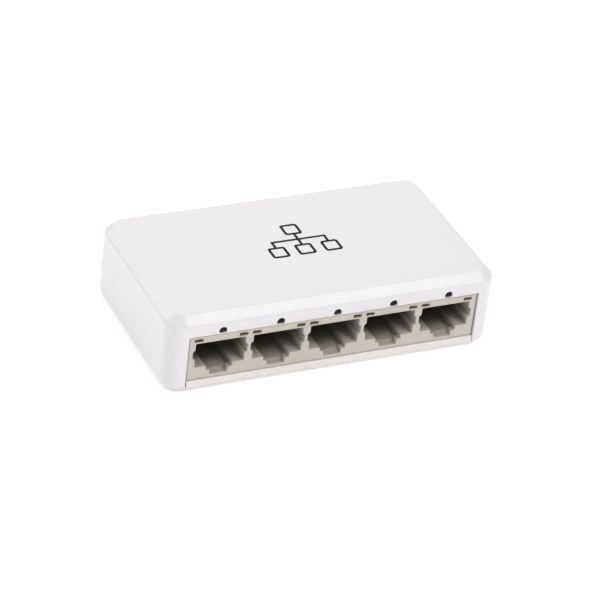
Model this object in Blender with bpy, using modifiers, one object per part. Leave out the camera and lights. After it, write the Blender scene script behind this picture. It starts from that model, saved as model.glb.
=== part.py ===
"""Five-port desktop network switch, built as an assembly.

Lengths in this file are millimetres; MM turns them into Blender's metres.
Frame: +X along the row of ports, -Y is the face with the ports, +Z is up.
The origin is at the middle of the four rubber feet, on the surface they rest on.
"""
import math

import bmesh
import bpy
from mathutils import Matrix, Vector

MM = 0.001

# ---- driving dimensions ----
PORTS = 5
PITCH = 13.97            # ganged modular jacks: 0.55 in between centres
CASE_W = 81.2
CASE_D = 45.6
CASE_H = 19.0
WALL = 1.6
CORNER_R = 4.6           # vertical corners, in plan
BAND_IN = 2.2            # sloped band round the top face: inwards
BAND_DOWN = 2.1          # and downwards
BAND_SOFT = 0.8          # rounding where the band meets the side walls
FOOT_ROUND = 0.9         # rounding of the lowest edge
FOOT_PROUD = 0.8         # rubber feet below the case

WINDOW_W = 71.7
WINDOW_TOP = 14.0        # above the case's lowest face
SILL_TOP = 2.5

GAP = 0.1                # parts soldered to the board
FIT = 0.2                # plastic parts that sit in each other

# heights measured from the case's lowest face, lifted by the feet
BASE = FOOT_PROUD
FRONT = -CASE_D / 2
BACK = CASE_D / 2

FLOOR_T = 1.2
BOARD_BOTTOM = 1.5
BOARD_TOP = 2.5
BOARD_W = 76.4
BOARD_D = 41.8

# modular jack block
BLOCK_W = WINDOW_W - 0.5
BLOCK_BOTTOM = BOARD_TOP + FIT
BLOCK_TOP = WINDOW_TOP - FIT
BLOCK_RECESS = 0.4
BLOCK_FRONT = FRONT + BLOCK_RECESS
BLOCK_D = 16.4
BLOCK_BACK = BLOCK_FRONT + BLOCK_D

# one jack's mouth, half widths and heights
MOUTH_HALF = 6.0
MOUTH_TOP = 11.85
NOTCH_HALF = 6.55        # side relief
NOTCH_TOP = 10.2
NOTCH_BOTTOM = 7.6
SHOULDER = 5.2           # the plug's body slides on this ledge
LATCH_HALF = 3.15
LATCH_STEP = 4.6
THUMB_HALF = 2.1
THUMB_BOTTOM = 3.2
PLUG_DEPTH = 12.0
MOUTH_BACK = BLOCK_FRONT + PLUG_DEPTH
CEILING = 13.05          # pocket for the contact carrier

SLOT_W = 2.0             # small mould slots above each mouth
SLOT_H = 0.65
SLOT_OUT = 5.39
SLOT_Z = 12.7

# contacts
WIRES = 8
WIRE_PITCH = 1.02
WIRE_W = 0.46
WIRE_T = 0.35
WIRE_LENGTH = 6.6
WIRE_SLOPE = math.radians(20.0)
HINGE_Y = BLOCK_FRONT + 4.4
HINGE_Z = 12.0

# indicator holes and light pipe
LED_R = 0.95
LED_Z = 14.9
LED_FLAT = 0.6           # the hole's flat side, below its centre
LED_Y = -4.7             # the indicators on the board
BAR_Y = -4.4             # the light pipe's bar, above them
PEG_X = 1.5 * PITCH      # the cover's pegs through that bar

# power inlet, 5.5 x 2.1 mm barrel
JACK_X = -26.0
JACK_W = 9.0
JACK_H = 11.0
JACK_BODY_BACK = 8.0
JACK_BODY_FRONT = 20.8
JACK_Z = BOARD_TOP + 6.5
JACK_BORE_R = 3.15
JACK_BOSS_R = 3.8
JACK_PIN_R = 1.0
LEAF_Y = 10.1            # hinge line of the inlet's sprung leaf
LEAF_Z = 4.75
LEAF_REACH = 5.0
LEAF_RISE = 1.75

# fastening
SCREW_X = 34.0
SCREW_Y = 2.0
FOOT_X = 32.5
FOOT_Y = 15.5
FOOT_R = 3.2
STUD_X = 36.0            # studs that place the circuit board
STUD_Y = 13.0

# air slots in the floor, in two groups
VENTS = 7
VENT_W = 1.6
VENT_L = 10.0
VENT_PITCH = 3.2
VENT_X = 14.0
VENT_Y = 8.0

PORT_X = [(k - (PORTS - 1) / 2) * PITCH for k in range(PORTS)]


# ---- scene ----
def clear_scene():
    for obj in list(bpy.data.objects):
        bpy.data.objects.remove(obj, do_unlink=True)


def new_collection(name):
    group = bpy.data.collections.new(name)
    bpy.context.scene.collection.children.link(group)
    return group


clear_scene()
SWITCH = new_collection("desktop_network_switch")
CUTTERS = new_collection("cutters")


def make_material(name, colour, roughness, metallic=0.0, transmission=0.0):
    mat = bpy.data.materials.new(name)
    mat.use_nodes = True
    shader = mat.node_tree.nodes["Principled BSDF"]
    shader.inputs["Base Color"].default_value = (*colour, 1.0)
    shader.inputs["Roughness"].default_value = roughness
    shader.inputs["Metallic"].default_value = metallic
    shader.inputs["Transmission Weight"].default_value = transmission
    return mat


WHITE = make_material("white_case_plastic", (0.82, 0.81, 0.83), 0.32)
CREAM = make_material("port_block_plastic", (0.56, 0.52, 0.46), 0.45)
DARK = make_material("black_plastic", (0.02, 0.02, 0.02), 0.45)
GOLD = make_material("gold_contact", (0.83, 0.62, 0.28), 0.25, 1.0)
STEEL = make_material("plated_steel", (0.62, 0.62, 0.60), 0.30, 1.0)
BOARD = make_material("green_board", (0.02, 0.16, 0.07), 0.40)
CLEAR = make_material("clear_acrylic", (0.85, 0.88, 0.88), 0.08, 0.0, 0.9)
RUBBER = make_material("grey_rubber", (0.10, 0.10, 0.10), 0.85)
LENS = make_material("indicator_lens", (0.70, 0.72, 0.60), 0.20)


# ---- helpers; all lengths in millimetres ----
def add_object(name, data, location=(0, 0, 0), group=None):
    obj = bpy.data.objects.new(name, data)
    obj.location = Vector(location) * MM
    (group or SWITCH).objects.link(obj)
    return obj


def as_part(obj, mat, smooth_angle=None):
    obj.data.materials.clear()
    obj.data.materials.append(mat)
    if smooth_angle is not None:
        obj.data.shade_smooth()
        obj.data.set_sharp_from_angle(angle=math.radians(smooth_angle))
    return obj


def as_tool(obj):
    for group in list(obj.users_collection):
        group.objects.unlink(obj)
    CUTTERS.objects.link(obj)
    obj.hide_render = True
    obj.display_type = "WIRE"
    return obj


def mesh_from(name, bm):
    mesh = bpy.data.meshes.new(name)
    bmesh.ops.recalc_face_normals(bm, faces=bm.faces[:])
    bm.to_mesh(mesh)
    bm.free()
    return mesh


def box(name, low, high, bevel=0.0):
    """A cuboid between two corners, with its origin at its middle."""
    size = [(b - a) * MM for a, b in zip(low, high)]
    middle = [(a + b) / 2 for a, b in zip(low, high)]
    bm = bmesh.new()
    bmesh.ops.create_cube(bm, size=1.0)
    bmesh.ops.scale(bm, vec=size, verts=bm.verts[:])
    if bevel:
        bmesh.ops.bevel(bm, geom=bm.edges[:], offset=bevel * MM, segments=1, profile=0.5,
                        affect="EDGES")
    return add_object(name, mesh_from(name, bm), middle)


def cylinder(name, radius, length, location, axis="Z", sides=32):
    """A cylinder whose middle is at location."""
    bm = bmesh.new()
    bmesh.ops.create_cone(bm, cap_ends=True, segments=sides, radius1=radius * MM,
                          radius2=radius * MM, depth=length * MM)
    obj = add_object(name, mesh_from(name, bm), location)
    if axis == "Y":
        obj.rotation_euler = (math.radians(90), 0, 0)
    return obj


def edges_where(bm, test):
    return [edge for edge in bm.edges if test(edge)]


def rounded_case(name, width, depth, bottom, top, corner, band, soft, low_round):
    """A box with round vertical corners, a sloped band at the top and a rounded lowest edge."""
    bm = bmesh.new()
    bmesh.ops.create_cube(bm, size=1.0)
    bmesh.ops.scale(bm, vec=(width * MM, depth * MM, (top - bottom) * MM), verts=bm.verts[:])
    half = (top - bottom) * MM / 2
    tiny = 1e-6

    def level(edge, z):
        return all(abs(v.co.z - z) < tiny for v in edge.verts)

    upright = edges_where(bm, lambda e: abs(e.verts[0].co.z - e.verts[1].co.z) > half)
    bmesh.ops.bevel(bm, geom=upright, offset=corner * MM, segments=8, profile=0.5,
                    affect="EDGES")
    if band:
        rim = edges_where(bm, lambda e: level(e, half))
        bmesh.ops.bevel(bm, geom=rim, offset=band * MM, segments=1, profile=0.5,
                        affect="EDGES")
    if soft:
        rim = edges_where(bm, lambda e: level(e, half - band * MM))
        bmesh.ops.bevel(bm, geom=rim, offset=soft * MM, segments=3, profile=0.5,
                        affect="EDGES")
    if low_round:
        rim = edges_where(bm, lambda e: level(e, -half))
        bmesh.ops.bevel(bm, geom=rim, offset=low_round * MM, segments=3, profile=0.5,
                        affect="EDGES")
    return add_object(name, mesh_from(name, bm), (0, 0, (top + bottom) / 2))


def outline_mesh(name, points, thickness):
    """A flat outline in XY made solid, thickness along Z, as a mesh with welded caps."""
    curve = bpy.data.curves.new(name, "CURVE")
    curve.dimensions = "2D"
    curve.fill_mode = "BOTH"
    curve.extrude = thickness * MM / 2
    spline = curve.splines.new("POLY")
    spline.points.add(len(points) - 1)
    for point, (x, y) in zip(spline.points, points):
        point.co = (x * MM, y * MM, 0, 1)
    spline.use_cyclic_u = True
    flat = bpy.data.objects.new(name, curve)
    CUTTERS.objects.link(flat)
    depsgraph = bpy.context.evaluated_depsgraph_get()
    mesh = bpy.data.meshes.new_from_object(flat.evaluated_get(depsgraph))
    bpy.data.objects.remove(flat, do_unlink=True)
    bm = bmesh.new()
    bm.from_mesh(mesh)
    bmesh.ops.remove_doubles(bm, verts=bm.verts[:], dist=1e-6)
    bmesh.ops.recalc_face_normals(bm, faces=bm.faces[:])
    bm.to_mesh(mesh)
    bm.free()
    return mesh


def turned(name, profile, location, sides=32):
    """A solid of revolution about Z; profile runs from the top of the axis to its bottom."""
    bm = bmesh.new()
    verts = [bm.verts.new((r * MM, 0, z * MM)) for r, z in profile]
    for a, b in zip(verts, verts[1:]):
        bm.edges.new((a, b))
    mesh = bpy.data.meshes.new(name)
    bm.to_mesh(mesh)
    bm.free()
    obj = add_object(name, mesh, location)
    spin = obj.modifiers.new("turn", "SCREW")
    spin.axis = "Z"
    spin.steps = sides
    spin.render_steps = sides
    spin.use_merge_vertices = True
    spin.merge_threshold = 1e-6
    spin.use_smooth_shade = False
    return obj


def boolean(obj, tools, operation):
    for tool in tools:
        as_tool(tool)
        mod = obj.modifiers.new(tool.name, "BOOLEAN")
        mod.operation = operation
        mod.solver = "EXACT"
        mod.object = tool


def cut(obj, *tools):
    boolean(obj, tools, "DIFFERENCE")


def fuse(obj, *tools):
    boolean(obj, tools, "UNION")


def many(name, mesh, places):
    """One mesh holding copies of another, for rows of pins."""
    bm = bmesh.new()
    for place in places:
        start = len(bm.verts)
        bm.from_mesh(mesh)
        bm.verts.ensure_lookup_table()
        bmesh.ops.transform(bm, matrix=place, verts=bm.verts[start:])
    return mesh_from(name, bm)


# ---- casing ----
def d_hole_outline():
    """A circle with its lowest part cut flat."""
    start = -math.asin(LED_FLAT / LED_R)
    stop = math.pi - start
    steps = 14
    turn = [start + (stop - start) * i / steps for i in range(steps + 1)]
    return [(LED_R * math.cos(a), LED_R * math.sin(a)) for a in turn]


def make_top_cover():
    cover = rounded_case("top_cover", CASE_W, CASE_D, BASE, BASE + CASE_H, CORNER_R,
                         (BAND_IN + BAND_DOWN) / 2, BAND_SOFT, FOOT_ROUND)
    inner_top = BASE + CASE_H - WALL
    hollow = rounded_case("cover_hollow", CASE_W - 2 * WALL, CASE_D - 2 * WALL, BASE - 5,
                          inner_top, CORNER_R - WALL, 1.1, 0, 0)
    window = box("cover_window", (-WINDOW_W / 2, FRONT - 1, BASE - 1),
                 (WINDOW_W / 2, FRONT + WALL + 0.5, BASE + WINDOW_TOP))
    cut(cover, hollow, window)
    d_mesh = outline_mesh("indicator_hole", d_hole_outline(), 4 * WALL)
    for k, x in enumerate(PORT_X):
        hole = add_object(f"indicator_hole_{k + 1}", d_mesh, (x, FRONT, BASE + LED_Z))
        hole.rotation_euler = (math.radians(90), 0, 0)
        cut(cover, hole)
    inlet = cylinder("inlet_hole", JACK_BOSS_R + FIT, 6, (JACK_X, BACK - 1, BASE + JACK_Z), "Y", 40)
    cut(cover, inlet)
    boss_low = BASE + BOARD_TOP + 0.5
    boss_high = inner_top + 0.4
    for side in (-1, 1):
        boss = cylinder(f"screw_boss_{side}", 2.7, boss_high - boss_low,
                        (side * SCREW_X, SCREW_Y, (boss_low + boss_high) / 2), sides=24)
        fuse(cover, boss)
    for side in (-1, 1):
        peg = cylinder(f"light_pipe_peg_{side}", 0.8, 3.4, (side * PEG_X, BAR_Y, inner_top - 1.2),
                       sides=16)
        fuse(cover, peg)
    for side in (-1, 1):
        pilot = cylinder(f"screw_pilot_{side}", 1.3, 16, (side * SCREW_X, SCREW_Y, BASE + 3),
                         sides=20)
        cut(cover, pilot)
    return as_part(cover, WHITE, 35)


def make_bottom_cover():
    plate = rounded_case("bottom_cover", CASE_W - 2 * WALL - 2 * FIT, CASE_D - 2 * WALL - 2 * FIT,
                         BASE, BASE + FLOOR_T, CORNER_R - WALL - FIT, 0, 0, 0)
    lip_half = WINDOW_W / 2 - FIT
    sill = box("sill", (-lip_half, FRONT, BASE), (lip_half, FRONT + WALL, BASE + SILL_TOP), 0.25)
    apron = box("apron", (-lip_half, FRONT + 0.5, BASE + 0.0005),
                (lip_half, FRONT + 5, BASE + FLOOR_T - 0.0005))
    fuse(plate, sill, apron)
    for side in (-1, 1):
        boss = cylinder(f"floor_boss_{side}", 3.2, 2.1, (side * SCREW_X, SCREW_Y, BASE + 1.65), sides=24)
        stud = cylinder(f"board_stud_{side}", 1.0, 3.6, (side * STUD_X, STUD_Y, BASE + 2.2), sides=16)
        fuse(plate, boss, stud)
    for side in (-1, 1):
        well = cylinder(f"screw_well_{side}", 2.5, 3.4, (side * SCREW_X, SCREW_Y, BASE - 0.2), sides=28)
        hole = cylinder(f"screw_hole_{side}", 1.45, 8, (side * SCREW_X, SCREW_Y, BASE), sides=20)
        cut(plate, well, hole)
        for end in (-1, 1):
            seat = cylinder(f"foot_seat_{side}_{end}", FOOT_R + FIT, 1.2,
                            (side * FOOT_X, end * FOOT_Y, BASE), sides=32)
            cut(plate, seat)
    for side in (-1, 1):
        for i in range(VENTS):
            x = side * VENT_X + (i - (VENTS - 1) / 2) * VENT_PITCH
            vent = box(f"vent_{side}_{i}", (x - VENT_W / 2, VENT_Y - VENT_L / 2, BASE - 1),
                       (x + VENT_W / 2, VENT_Y + VENT_L / 2, BASE + FLOOR_T + 1))
            cut(plate, vent)
    return as_part(plate, WHITE, 35)


def make_feet():
    # the top face keeps 0.1 mm of glue above it
    profile = [(0, 0.5), (FOOT_R, 0.5), (FOOT_R, -FOOT_PROUD + 0.3), (FOOT_R - 0.3, -FOOT_PROUD),
               (0, -FOOT_PROUD)]
    places = {"front_left": (-1, -1), "front_right": (1, -1), "rear_left": (-1, 1), "rear_right": (1, 1)}
    for name, (side, end) in places.items():
        foot = turned(f"rubber_foot_{name}", profile, (side * FOOT_X, end * FOOT_Y, BASE), 28)
        as_part(foot, RUBBER, 35)


def make_screws():
    profile = [(0, 7.6), (0.6, 7.6), (1.1, 6.9), (1.1, 1.3), (2.2, 1.3), (2.2, 0.6), (1.7, 0.2), (0, 0.2)]
    for side, name in ((-1, "left"), (1, "right")):
        screw = turned(f"case_screw_{name}", profile, (side * SCREW_X, SCREW_Y, BASE), 24)
        for i, (dx, dy) in enumerate(((1.2, 0.22), (0.22, 1.2))):
            low = (side * SCREW_X - dx, SCREW_Y - dy, BASE - 0.5)
            high = (side * SCREW_X + dx, SCREW_Y + dy, BASE + 0.85)
            cut(screw, box(f"screw_slot_{name}_{i}", low, high))
        as_part(screw, STEEL, 35)


# ---- jack block ----
def mouth_outline():
    """One jack's mouth seen from the front; symmetric about its middle."""
    right = [(THUMB_HALF, THUMB_BOTTOM), (THUMB_HALF, LATCH_STEP - 0.35), (LATCH_HALF, LATCH_STEP),
             (LATCH_HALF, SHOULDER), (MOUTH_HALF - 0.05, SHOULDER), (MOUTH_HALF - 0.05, NOTCH_BOTTOM),
             (NOTCH_HALF, NOTCH_BOTTOM + 0.3), (NOTCH_HALF, NOTCH_TOP - 0.45), (MOUTH_HALF, NOTCH_TOP),
             (MOUTH_HALF, MOUTH_TOP)]
    return right + [(-x, z) for x, z in reversed(right)]


def make_port_block():
    block = box("port_block", (-BLOCK_W / 2, BLOCK_FRONT, BASE + BLOCK_BOTTOM),
                (BLOCK_W / 2, BLOCK_BACK, BASE + BLOCK_TOP), 0.2)
    start = BLOCK_FRONT - 1
    mouth_mesh = outline_mesh("mouth", mouth_outline(), MOUTH_BACK - start)
    for k, x in enumerate(PORT_X):
        mouth = add_object(f"mouth_{k + 1}", mouth_mesh, (x, (start + MOUTH_BACK) / 2, BASE))
        mouth.rotation_euler = (math.radians(90), 0, 0)
        pocket = box(f"contact_pocket_{k + 1}", (x - 5.95, BLOCK_FRONT + 2.2, BASE + MOUTH_TOP - 0.4),
                     (x + 5.95, BLOCK_BACK + 1, BASE + CEILING))
        rear = box(f"carrier_pocket_{k + 1}", (x - 5.9, MOUTH_BACK - 0.2, BASE + BLOCK_BOTTOM + 0.8),
                   (x + 5.9, BLOCK_BACK + 1, BASE + MOUTH_TOP))
        relief = box(f"latch_relief_{k + 1}", (x - LATCH_HALF + 0.1, BLOCK_FRONT + 3.6, BASE + 1),
                     (x + LATCH_HALF - 0.1, MOUTH_BACK - 1.2, BASE + SHOULDER - 0.1))
        cut(block, mouth, pocket, rear, relief)
        for side in (-1, 1):
            centre = x + side * SLOT_OUT
            slot = box(f"mould_slot_{k + 1}_{side}",
                       (centre - SLOT_W / 2, start, BASE + SLOT_Z - SLOT_H / 2),
                       (centre + SLOT_W / 2, BLOCK_FRONT + 1.6, BASE + SLOT_Z + SLOT_H / 2))
            cut(block, slot)
    return as_part(block, CREAM)


def make_contact_carrier(k, x):
    """The insert that closes a jack's back and holds its contact wires: an L seen from the side."""
    low = BLOCK_BOTTOM + 1.0
    high = CEILING - FIT
    wall_front = MOUTH_BACK
    wall_back = BLOCK_BACK - 0.2
    nose_front = BLOCK_FRONT + 2.5
    nose_back = nose_front + 0.8
    nose_low = MOUTH_TOP + 0.1
    plate_low = HINGE_Z + 0.5
    side_view = [(wall_back, low), (wall_back, high), (nose_front, high), (nose_front, nose_low),
                 (nose_back, nose_low), (nose_back, plate_low), (wall_front, plate_low), (wall_front, low)]
    mesh = outline_mesh(f"contact_carrier_{k}", side_view, 2 * (MOUTH_HALF - 0.3))
    carrier = add_object(f"contact_carrier_{k}", mesh, (x, 0, BASE))
    carrier.rotation_euler = (math.radians(90), 0, math.radians(90))
    return as_part(carrier, CREAM)


def comb_outline():
    """Eight wires joined by a bar, in plan; the bar lies on the hinge line."""
    bar_half = WIRES * WIRE_PITCH / 2
    bar_depth = 0.35
    points = [(-bar_half, -bar_depth), (bar_half, -bar_depth), (bar_half, bar_depth)]
    for i in reversed(range(WIRES)):
        centre = (i - (WIRES - 1) / 2) * WIRE_PITCH
        right = centre + WIRE_W / 2
        left = centre - WIRE_W / 2
        points += [(right, bar_depth), (right, WIRE_LENGTH), (left, WIRE_LENGTH), (left, bar_depth)]
    return points + [(-bar_half, bar_depth)]


def make_contact_wires(k, x, mesh):
    """The sprung wires of one jack; the object's origin is on the hinge line."""
    comb = add_object(f"contact_wires_{k}", mesh, (x, HINGE_Y, BASE + HINGE_Z))
    comb.rotation_euler = (-WIRE_SLOPE, 0, 0)
    return as_part(comb, GOLD)


# ---- circuit board and what is on it ----
def make_board():
    board = rounded_case("circuit_board", BOARD_W, BOARD_D, BASE + BOARD_BOTTOM, BASE + BOARD_TOP,
                         CORNER_R - WALL, 0, 0, 0)
    for side in (-1, 1):
        inner = side * (SCREW_X - 3.7)
        outer = side * (SCREW_X + 8)
        notch = box(f"board_notch_{side}", (min(inner, outer), SCREW_Y - 3.7, BASE),
                    (max(inner, outer), SCREW_Y + 3.7, BASE + 5))
        hole = cylinder(f"board_hole_{side}", 1.3, 4, (side * STUD_X, STUD_Y, BASE + 2), sides=20)
        cut(board, notch, hole)
    return as_part(board, BOARD)


def make_indicators():
    low = BASE + BOARD_TOP + GAP
    for k, x in enumerate(PORT_X):
        led = box(f"indicator_led_{k + 1}", (x - 1.0, LED_Y - 0.6, low), (x + 1.0, LED_Y + 0.6, low + 0.4))
        dome = box(f"led_dome_{k + 1}", (x - 0.6, LED_Y - 0.55, low + 0.2),
                   (x + 0.6, LED_Y + 0.55, low + 0.8), 0.12)
        fuse(led, dome)
        as_part(led, LENS)


def make_light_pipe():
    """One clear moulding: a bar behind the jacks, five fingers to the holes, five legs to the lamps."""
    finger = 0.75
    low = BASE + BLOCK_TOP + 0.35
    high = low + 2 * finger
    end = PORT_X[-1] + 2.0
    pipe = box("light_pipe", (-end, BAR_Y - 1.2, low), (end, BAR_Y + 1.2, high), 0.15)
    fingers_front = FRONT + WALL + FIT
    leg_low = BASE + BOARD_TOP + 1.3
    for k, x in enumerate(PORT_X):
        rod = box(f"pipe_finger_{k + 1}", (x - finger, fingers_front, low + 0.03),
                  (x + finger, BAR_Y, high - 0.03), 0.12)
        leg = box(f"pipe_leg_{k + 1}", (x - finger, BAR_Y - 1.0, leg_low),
                  (x + finger, BAR_Y + 0.5, high - 0.05))
        fuse(pipe, rod, leg)
    for side in (-1, 1):
        hole = cylinder(f"pipe_hole_{side}", 0.95, 5, (side * PEG_X, BAR_Y, low), sides=16)
        cut(pipe, hole)
    return as_part(pipe, CLEAR)


def pin_rows(name, count, pitch, inner, outer, width, low):
    """Two facing rows of bent pins, each pin a Z seen from the side."""
    knee = outer - 0.55
    top = 1.1
    t = 0.22
    side_view = [(inner, top), (knee - t, top), (knee - t, 0), (outer, 0), (outer, t), (knee, t),
                 (knee, top + t), (inner, top + t)]
    pin = outline_mesh(name + "_pin", side_view, width)
    upright = Matrix.Rotation(math.radians(90), 4, "X")
    places = []
    for i in range(count):
        along = (i - (count - 1) / 2) * pitch
        shift = Matrix.Translation(Vector((along, 0, low)) * MM)
        for turn in (90, -90):
            places.append(shift @ Matrix.Rotation(math.radians(turn), 4, "Z") @ upright)
    return many(name, pin, places)


def make_flat_chip(name, centre, size, pins, pitch, four_sided=False):
    """A moulded package with rows of bent pins."""
    cx, cy = centre
    sx, sy, sz = size
    low = BOARD_TOP + GAP
    body = box(name, (cx - sx / 2, cy - sy / 2, BASE + low + 0.15),
               (cx + sx / 2, cy + sy / 2, BASE + low + sz), 0.12)
    rows = pin_rows(name + "_pins", pins, pitch, sy / 2 - 0.4, sy / 2 + 1.0, pitch * 0.42, 0)
    quarter_turns = (0, 90) if four_sided else (0,)
    for angle in quarter_turns:
        pins_obj = add_object(f"{name}_pins_{angle}", rows, (cx, cy, BASE + low))
        pins_obj.rotation_euler = (0, 0, math.radians(angle))
        fuse(body, pins_obj)
    return as_part(body, DARK)


def make_capacitor(name, centre, radius, height):
    """An aluminium can with a crimp groove, a rounded top edge and a score line."""
    groove = height * 0.2
    profile = [(0, height - 0.15), (radius - 0.9, height - 0.15), (radius - 0.7, height),
               (radius - 0.3, height), (radius, height - 0.3), (radius, groove + 0.45),
               (radius - 0.25, groove), (radius, groove - 0.45), (radius, 0), (0, 0)]
    can = turned(name, profile, (*centre, BASE + BOARD_TOP + GAP), 28)
    return as_part(can, STEEL, 35)


def stadium(length, width):
    """Outline with round ends."""
    radius = width / 2
    reach = length / 2 - radius
    steps = 8
    points = []
    for side, start in ((1, -90), (-1, 90)):
        for i in range(steps + 1):
            angle = math.radians(start + 180 * i / steps)
            points.append((side * reach + radius * math.cos(angle), radius * math.sin(angle)))
    return points


def make_crystal(centre):
    low = BASE + BOARD_TOP + GAP
    flange = outline_mesh("crystal", stadium(11.0, 4.7), 0.5)
    crystal = add_object("crystal", flange, (*centre, low + 0.25))
    can = add_object("crystal_can", outline_mesh("crystal_can", stadium(10.2, 3.9), 3.2),
                     (*centre, low + 1.8))
    fuse(crystal, can)
    return as_part(crystal, STEEL, 35)


def make_inductor(centre):
    """A drum core on a square base."""
    cx, cy = centre
    low = BASE + BOARD_TOP + GAP
    base = box("power_inductor", (cx - 3, cy - 3, low), (cx + 3, cy + 3, low + 0.8), 0.3)
    waist = cylinder("inductor_waist", 2.5, 2.4, (cx, cy, low + 1.6), sides=28)
    top = cylinder("inductor_top", 2.9, 0.7, (cx, cy, low + 2.65), sides=28)
    fuse(base, waist, top)
    return as_part(base, DARK, 35)


def make_diode(centre):
    cx, cy = centre
    low = BASE + BOARD_TOP + GAP
    body = box("input_diode", (cx - 2.1, cy - 1.3, low + 0.1), (cx + 2.1, cy + 1.3, low + 2.1), 0.2)
    ends = box("diode_ends", (cx - 2.6, cy - 0.75, low), (cx + 2.6, cy + 0.75, low + 1.2))
    fuse(body, ends)
    return as_part(body, DARK)


# ---- power inlet ----
def make_inlet():
    low = BASE + BOARD_TOP + GAP
    axis_z = BASE + JACK_Z
    body = box("power_jack", (JACK_X - JACK_W / 2, JACK_BODY_BACK, low),
               (JACK_X + JACK_W / 2, JACK_BODY_FRONT, low + JACK_H), 0.3)
    boss_length = BACK - 0.1 - JACK_BODY_FRONT + 1
    boss = cylinder("jack_boss", JACK_BOSS_R, boss_length,
                    (JACK_X, BACK - 0.1 - boss_length / 2, axis_z), "Y", 40)
    bore = cylinder("jack_bore", JACK_BORE_R, 14, (JACK_X, 11.5 + 7, axis_z), "Y", 32)
    pin_hole = cylinder("jack_pin_hole", JACK_PIN_R + 0.25, 10, (JACK_X, 9, axis_z), "Y", 20)
    slot = box("jack_spring_slot", (JACK_X - 1.6, 9.4, low + 1.1), (JACK_X + 1.6, 19.0, axis_z - 2.4))
    fuse(body, boss)
    cut(body, bore, pin_hole, slot)
    as_part(body, DARK, 35)

    # rivet head at the back, straight shank, rounded tip
    r = JACK_PIN_R
    length = 12.6
    profile = [(0, length), (r * 0.6, length), (r, length - 0.5), (r, 0.5), (1.8, 0.5), (1.8, 0), (0, 0)]
    pin = turned("power_jack_pin", profile, (JACK_X, JACK_BODY_BACK - 0.8, axis_z), 20)
    pin.rotation_euler = (math.radians(-90), 0, 0)
    as_part(pin, STEEL, 35)


def make_inlet_spring():
    """The sprung leaf that touches a plug's sleeve; its origin is on its hinge line."""
    t = 0.25
    crest = LEAF_REACH + 0.8
    top_side = [(0, 0), (LEAF_REACH, LEAF_RISE), (crest, LEAF_RISE), (crest + 1.6, LEAF_RISE - 0.9)]
    under = [(y, z - t) for y, z in reversed(top_side)]
    mesh = outline_mesh("power_jack_spring", top_side + under, 2.4)
    leaf = add_object("power_jack_spring", mesh, (JACK_X, LEAF_Y, BASE + LEAF_Z))
    leaf.rotation_euler = (math.radians(90), 0, math.radians(90))
    return as_part(leaf, GOLD)


# ---- assembly ----
def build():
    make_top_cover()
    make_bottom_cover()
    make_feet()
    make_screws()
    make_port_block()
    comb = outline_mesh("contact_wires", comb_outline(), WIRE_T)
    for k, x in enumerate(PORT_X, start=1):
        make_contact_carrier(k, x)
        make_contact_wires(k, x, comb)
    make_board()
    make_indicators()
    make_light_pipe()
    make_flat_chip("magnetics_left", (-15.0, 3.4), (18.0, 7.6, 5.4), 8, 2.0)
    make_flat_chip("magnetics_right", (15.0, 3.4), (18.0, 7.6, 5.4), 8, 2.0)
    make_flat_chip("switch_chip", (4.5, 14.2), (9.0, 9.0, 1.5), 8, 1.0, True)
    make_flat_chip("voltage_regulator", (-9.5, 17.6), (5.0, 3.8, 1.5), 4, 1.27)
    make_crystal((17.5, 18.2))
    make_inductor((-9.5, 11.6))
    make_diode((-16.6, 11.6))
    make_capacitor("input_capacitor", (-16.6, 17.4), 3.1, 8.0)
    make_capacitor("output_capacitor", (17.0, 12.3), 2.5, 7.0)
    make_capacitor("filter_capacitor", (27.5, 14.5), 3.1, 8.0)
    make_inlet()
    make_inlet_spring()


build()
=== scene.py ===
"""Looks of a small desktop network switch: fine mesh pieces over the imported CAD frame.

Lengths are millimetres unless a name says otherwise; MM turns them into metres.
Frame: +X along the row of ports, -Y is the face with the ports, +Z is up.
"""
import math

import bmesh
import bpy
from mathutils import Matrix, Vector


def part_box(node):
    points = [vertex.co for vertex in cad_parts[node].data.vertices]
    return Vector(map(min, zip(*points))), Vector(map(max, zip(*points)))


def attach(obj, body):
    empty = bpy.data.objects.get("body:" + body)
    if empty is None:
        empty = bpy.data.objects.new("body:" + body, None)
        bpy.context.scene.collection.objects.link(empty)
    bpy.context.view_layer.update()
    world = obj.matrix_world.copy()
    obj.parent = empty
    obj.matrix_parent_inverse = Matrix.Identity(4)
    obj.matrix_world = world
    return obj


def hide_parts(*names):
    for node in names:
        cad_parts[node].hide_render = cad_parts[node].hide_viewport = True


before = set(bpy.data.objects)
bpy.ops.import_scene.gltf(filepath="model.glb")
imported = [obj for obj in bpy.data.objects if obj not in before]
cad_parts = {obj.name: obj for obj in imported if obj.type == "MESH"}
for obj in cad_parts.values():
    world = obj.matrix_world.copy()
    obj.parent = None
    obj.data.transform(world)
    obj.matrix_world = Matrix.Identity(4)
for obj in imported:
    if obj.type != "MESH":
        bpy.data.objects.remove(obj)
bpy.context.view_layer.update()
scene = bpy.context.scene

MM = 0.001


def node_box(name):
    """Lowest and highest corner of a CAD node, in millimetres."""
    low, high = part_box(name)
    return low / MM, high / MM


# ---- camera ----
LENS = 173.24
SENSOR = 36.0
EYE = (-259.08, -501.70, 368.07)
TURN = (57.046, -5.863, -23.694)         # degrees

camera_data = bpy.data.cameras.new("camera")
camera_data.lens = LENS
camera_data.sensor_width = SENSOR
camera_data.clip_start = 0.02
camera_data.clip_end = 20.0
camera = bpy.data.objects.new("camera", camera_data)
camera.location = Vector(EYE) * MM
camera.rotation_euler = [math.radians(a) for a in TURN]
scene.collection.objects.link(camera)
scene.camera = camera

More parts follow.
